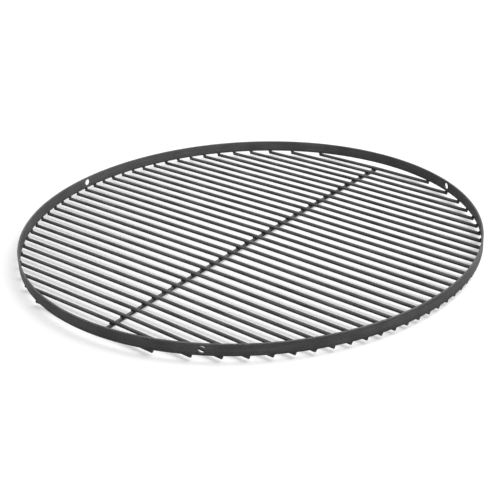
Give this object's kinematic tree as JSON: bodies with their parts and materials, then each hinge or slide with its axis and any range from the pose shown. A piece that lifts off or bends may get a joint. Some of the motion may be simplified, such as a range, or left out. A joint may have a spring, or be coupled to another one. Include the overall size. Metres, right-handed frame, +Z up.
{
  "type": "fire bowl grill grate",
  "caption": "Round welded steel grill grate: a flat-bar ring on edge, parallel round bars under it, a cross rod beneath them, and holes in the ring for hanging chains.",
  "frame": {"origin": "on the ring's axis, at the height of the lowest point, which is the underside of the cross rod's two ends", "axes": "+Z up through the ring's axis, X along the grill bars, Y square to them and within 2 degrees of the cross rod"},
  "size_m": [0.8, 0.8, 0.0315],
  "materials": {
    "rim_steel": "satin",
    "bar_steel": "satin",
    "cross_rod_steel": "satin",
    "weld_steel": "matte"
  },
  "bodies": {
    "root": {"rim_band": "rim_steel", "rim_seam_weld": "weld_steel", "cross_rod": "cross_rod_steel", "grill_bar_middle": "bar_steel", "grill_bar_left_01": "bar_steel", "grill_bar_left_02": "bar_steel", "grill_bar_left_03": "bar_steel", "grill_bar_left_04": "bar_steel", "grill_bar_left_05": "bar_steel", "grill_bar_left_06": "bar_steel", "grill_bar_left_07": "bar_steel", "grill_bar_left_08": "bar_steel", "grill_bar_left_09": "bar_steel", "grill_bar_left_10": "bar_steel", "grill_bar_left_11": "bar_steel", "grill_bar_left_12": "bar_steel", "grill_bar_left_13": "bar_steel", "grill_bar_left_14": "bar_steel", "grill_bar_left_15": "bar_steel", "grill_bar_left_16": "bar_steel", "grill_bar_right_01": "bar_steel", "grill_bar_right_02": "bar_steel", "grill_bar_right_03": "bar_steel", "grill_bar_right_04": "bar_steel", "grill_bar_right_05": "bar_steel", "grill_bar_right_06": "bar_steel", "grill_bar_right_07": "bar_steel", "grill_bar_right_08": "bar_steel", "grill_bar_right_09": "bar_steel", "grill_bar_right_10": "bar_steel", "grill_bar_right_11": "bar_steel", "grill_bar_right_12": "bar_steel", "grill_bar_right_13": "bar_steel", "grill_bar_right_14": "bar_steel", "grill_bar_right_15": "bar_steel", "grill_bar_right_16": "bar_steel"}
  },
  "joints": []
}
